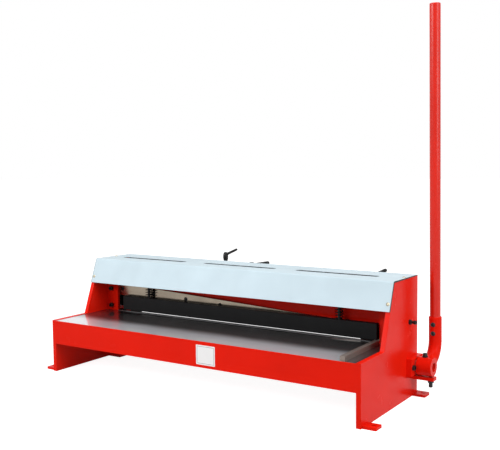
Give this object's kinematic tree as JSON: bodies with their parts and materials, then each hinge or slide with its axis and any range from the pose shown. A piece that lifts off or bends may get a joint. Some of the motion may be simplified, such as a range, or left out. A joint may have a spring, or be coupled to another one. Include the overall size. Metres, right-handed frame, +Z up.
{
  "type": "guillotine shear",
  "caption": "Hand guillotine shear for sheet metal: raked blade in a sliding crosshead, spring hold-down, cranked shaft and a long side lever, back gauge behind.",
  "frame": {"origin": "centre of the four floor slots, on the floor plane", "axes": "+X to the operator's right along the blades, +Y to the rear, +Z up"},
  "size_m": [1.32, 0.7205, 1.2124],
  "materials": {
    "red_paint": "glossy red enamel",
    "pale_paint": "satin pale blue-grey powder coat",
    "ground_steel": "ground, oiled",
    "blade_steel": "ground tool steel, warm grey",
    "black_paint": "satin black",
    "black_oxide": "black oxide",
    "zinc": "yellow zinc plating",
    "bright_steel": "turned bright steel",
    "bronze": "machined bronze",
    "black_plastic": "matt moulded plastic",
    "label_white": "plain white label",
    "black_rubber": "black sealing strip"
  },
  "bodies": {
    "frame": {"left_side_plate": "red_paint", "right_side_plate": "red_paint", "outer_feet": "red_paint", "inner_feet": "red_paint", "front_apron": "red_paint", "table_plate": "ground_steel", "squaring_bar": "ground_steel", "squaring_bar_screws": "black_oxide", "lower_beam": "red_paint", "lower_blade": "ground_steel", "lower_blade_screws": "black_oxide", "front_guides": "red_paint", "guide_spacers": "black_oxide", "rear_gibs": "black_oxide", "guide_screws": "black_oxide", "gib_adjusting_screws": "black_oxide", "travel_stops": "black_paint", "rear_tie_plate": "black_paint", "cover": "pale_paint", "cover_strips": "black_rubber", "cover_screws": "zinc", "label_plate": "label_white", "bearing_blocks": "red_paint", "shaft_bushes": "bronze", "bearing_screws": "black_oxide", "brake_bracket": "red_paint", "brake_screw": "black_oxide", "gauge_rods": "bright_steel", "upper_spring_pins": "bright_steel", "return_springs": "black_oxide"},
    "lever": {"main_shaft": "bright_steel", "hub_key": "bright_steel", "crank_arms": "black_oxide", "crank_pins": "bright_steel", "shaft_spacer_ring": "bright_steel", "shaft_end_screw": "black_oxide", "lever_hub": "red_paint", "hub_clamp_screw": "black_oxide", "lever_arm": "red_paint", "handle_pipe": "red_paint", "handle_screws": "black_oxide"},
    "left_roller": {"left_roller": "bright_steel"},
    "right_roller": {"right_roller": "bright_steel"},
    "crosshead": {"crosshead": "red_paint", "upper_blade": "blade_steel", "upper_blade_screws": "black_oxide", "pull_down_plates": "black_oxide", "crosshead_screws": "black_oxide", "yoke_blocks": "black_oxide", "spring_brackets": "red_paint", "lower_spring_pins": "bright_steel"},
    "hold_down": {"hold_down_bar": "black_paint", "hold_down_rods": "black_oxide", "hold_down_springs": "black_oxide"},
    "back_gauge": {"gauge_carriers": "red_paint", "stop_bar_hangers": "red_paint", "gauge_stop_bar": "bright_steel"},
    "left_clamp_lever": {"left_clamp_lever": "black_plastic"},
    "right_clamp_lever": {"right_clamp_lever": "black_plastic"},
    "lock_lever": {"lock_lever": "black_plastic"}
  },
  "joints": [
    {"name": "lever_swing", "type": "hinge", "parent": "frame", "child": "lever", "pos_m": [0, 0.15775, 0.101], "axis": [1, 0, 0], "range_deg": [0, 75]},
    {"name": "crosshead_slide", "type": "slide", "parent": "frame", "child": "crosshead", "axis": [0, 0, -1], "range_m": [0, 0.0658], "stiffness_N_per_m": 1500, "springref_m": -0.36, "deforming": ["return_springs"]},
    {"name": "hold_down_slide", "type": "slide", "parent": "crosshead", "child": "hold_down", "axis": [0, 0, 1], "range_m": [0, 0.06], "deforming": ["hold_down_springs"]},
    {"name": "left_roller_spin", "type": "hinge", "parent": "lever", "child": "left_roller", "pos_m": [-0.499, 0.1157, 0.13326], "axis": [1, 0, 0], "continuous": true},
    {"name": "right_roller_spin", "type": "hinge", "parent": "lever", "child": "right_roller", "pos_m": [0.499, 0.1157, 0.13326], "axis": [1, 0, 0], "continuous": true},
    {"name": "back_gauge_slide", "type": "slide", "parent": "frame", "child": "back_gauge", "axis": [0, -1, 0], "range_m": [-0.045, 0.195]},
    {"name": "left_clamp_turn", "type": "hinge", "parent": "back_gauge", "child": "left_clamp_lever", "pos_m": [-0.2975, 0.43475, 0.34], "axis": [0, 0, 1], "range_deg": [-60, 90]},
    {"name": "right_clamp_turn", "type": "hinge", "parent": "back_gauge", "child": "right_clamp_lever", "pos_m": [0.338, 0.43475, 0.299], "axis": [0, 0, 1], "range_deg": [-60, 90]},
    {"name": "lock_lever_turn", "type": "hinge", "parent": "frame", "child": "lock_lever", "pos_m": [-0.0405, 0.20725, 0.366], "axis": [0, 1, 0], "range_deg": [-110, 20]}
  ],
  "couplings": [
    {"joint": "crosshead_slide", "follows": "lever_swing", "m_per_rad": 0.050191},
    {"joint": "hold_down_slide", "follows": "lever_swing", "m_per_rad": 0.04576}
  ]
}
